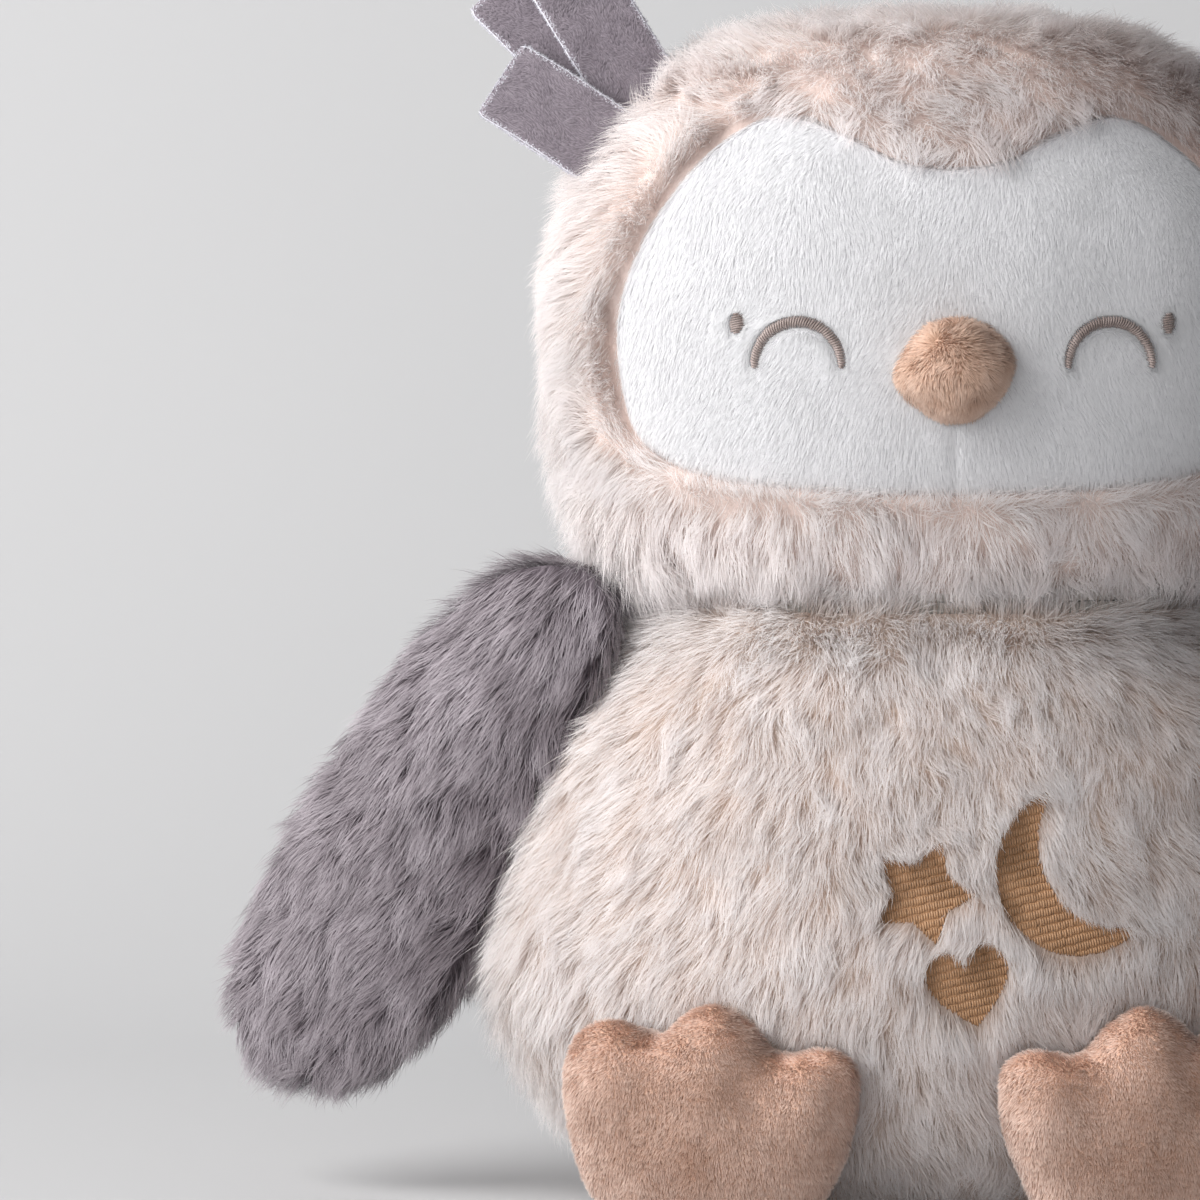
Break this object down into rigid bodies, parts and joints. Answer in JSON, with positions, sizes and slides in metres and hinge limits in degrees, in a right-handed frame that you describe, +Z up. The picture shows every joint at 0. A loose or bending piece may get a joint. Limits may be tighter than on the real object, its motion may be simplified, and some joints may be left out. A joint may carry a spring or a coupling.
{
  "type": "plush owl",
  "caption": "Seated plush owl with a long-pile body and hood, white face, padded beak and feet, hanging wings, ear tufts and belly embroidery.",
  "frame": {"origin": "centre of the base panel, on the floor", "axes": "+Z up, -Y towards the belly and the feet, +X to the right as seen from the front"},
  "size_m": [0.307, 0.1627, 0.2788],
  "materials": {
    "body_plush": "long cream pile with beige roots",
    "hood_plush": "long rose-beige pile with brown roots",
    "face_plush": "short white pile",
    "wing_plush": "long mauve-grey pile",
    "ear_plush": "short mauve-grey pile, two-ply with white raw edges",
    "tan_plush": "short tan pile",
    "belly_thread": "tan satin embroidery thread",
    "eye_thread": "brown satin embroidery thread",
    "filling": "loose white fibre",
    "lining": "plain woven bag of pellets"
  },
  "bodies": {
    "body": {"body_cover": "body_plush", "base_panel": "body_plush", "body_filling": "filling", "pellet_bag": "lining", "belly_star": "belly_thread", "belly_crescent": "belly_thread", "belly_heart": "belly_thread", "head_hood": "hood_plush", "head_filling": "filling", "beak": "tan_plush", "face_left_panel": "face_plush", "eye_left_arch": "eye_thread", "eye_left_dot": "eye_thread", "face_right_panel": "face_plush", "eye_right_arch": "eye_thread", "eye_right_dot": "eye_thread"},
    "wing_left": {"wing_left_cover": "wing_plush", "wing_left_filling": "filling"},
    "foot_left": {"foot_left_cover": "tan_plush", "foot_left_filling": "filling"},
    "ear_left": {"ear_left_front_strip": "ear_plush", "ear_left_middle_strip": "ear_plush", "ear_left_rear_strip": "ear_plush"},
    "wing_right": {"wing_right_cover": "wing_plush", "wing_right_filling": "filling"},
    "foot_right": {"foot_right_cover": "tan_plush", "foot_right_filling": "filling"},
    "ear_right": {"ear_right_front_strip": "ear_plush", "ear_right_middle_strip": "ear_plush", "ear_right_rear_strip": "ear_plush"}
  },
  "joints": [
    {"name": "wing_left_lift", "type": "hinge", "parent": "body", "child": "wing_left", "pos_m": [-0.08045, -0.024, 0.128], "axis": [0.4695, 0.8829, 0], "range_deg": [0, 35]},
    {"name": "wing_right_lift", "type": "hinge", "parent": "body", "child": "wing_right", "pos_m": [0.08045, -0.024, 0.128], "axis": [0.4695, -0.8829, 0], "range_deg": [0, 35]},
    {"name": "foot_left_tilt", "type": "hinge", "parent": "body", "child": "foot_left", "pos_m": [-0.0436, -0.06523, 0.012], "axis": [0.9781, -0.2079, 0], "range_deg": [0, 15], "stiffness_Nm_per_rad": 0.08},
    {"name": "foot_right_tilt", "type": "hinge", "parent": "body", "child": "foot_right", "pos_m": [0.0436, -0.06523, 0.012], "axis": [0.9781, 0.2079, 0], "range_deg": [0, 15], "stiffness_Nm_per_rad": 0.08},
    {"name": "ear_left_swing", "type": "hinge", "parent": "body", "child": "ear_left", "pos_m": [-0.06889, -0.01194, 0.23535], "axis": [0.7049, 0.0555, 0.7071], "range_deg": [-12, 12], "stiffness_Nm_per_rad": 0.02},
    {"name": "ear_right_swing", "type": "hinge", "parent": "body", "child": "ear_right", "pos_m": [0.0699, -0.00102, 0.23535], "axis": [0.7049, 0.0555, -0.7071], "range_deg": [-12, 12], "stiffness_Nm_per_rad": 0.02}
  ]
}
